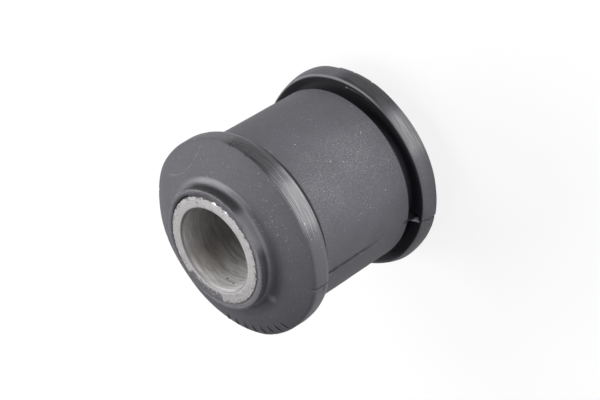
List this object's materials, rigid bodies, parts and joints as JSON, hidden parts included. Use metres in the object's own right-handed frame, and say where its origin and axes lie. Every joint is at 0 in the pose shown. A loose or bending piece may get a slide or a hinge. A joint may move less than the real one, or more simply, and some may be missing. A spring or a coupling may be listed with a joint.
{
  "type": "rubber metal bush",
  "caption": "Rubber bush moulded round a steel sleeve, with a flange at each end, that cushions a bolted pivot in an eye.",
  "frame": {"origin": "centre of the sleeve's lower end face, on which the bush stands", "axes": "+Z along the bush's axis, through the bore; +X passes through a mould line"},
  "size_m": [0.0404, 0.0404, 0.043],
  "materials": {
    "sleeve_steel": "satin, faced ends with fine pits and a burred outer edge, fine turning marks in the bore",
    "moulded_rubber": "matt dark grey with a fine pale bloom, dust specks, and polished streaks on the rims"
  },
  "bodies": {
    "root": {"inner_sleeve": "sleeve_steel", "rubber_body": "moulded_rubber"}
  },
  "joints": []
}
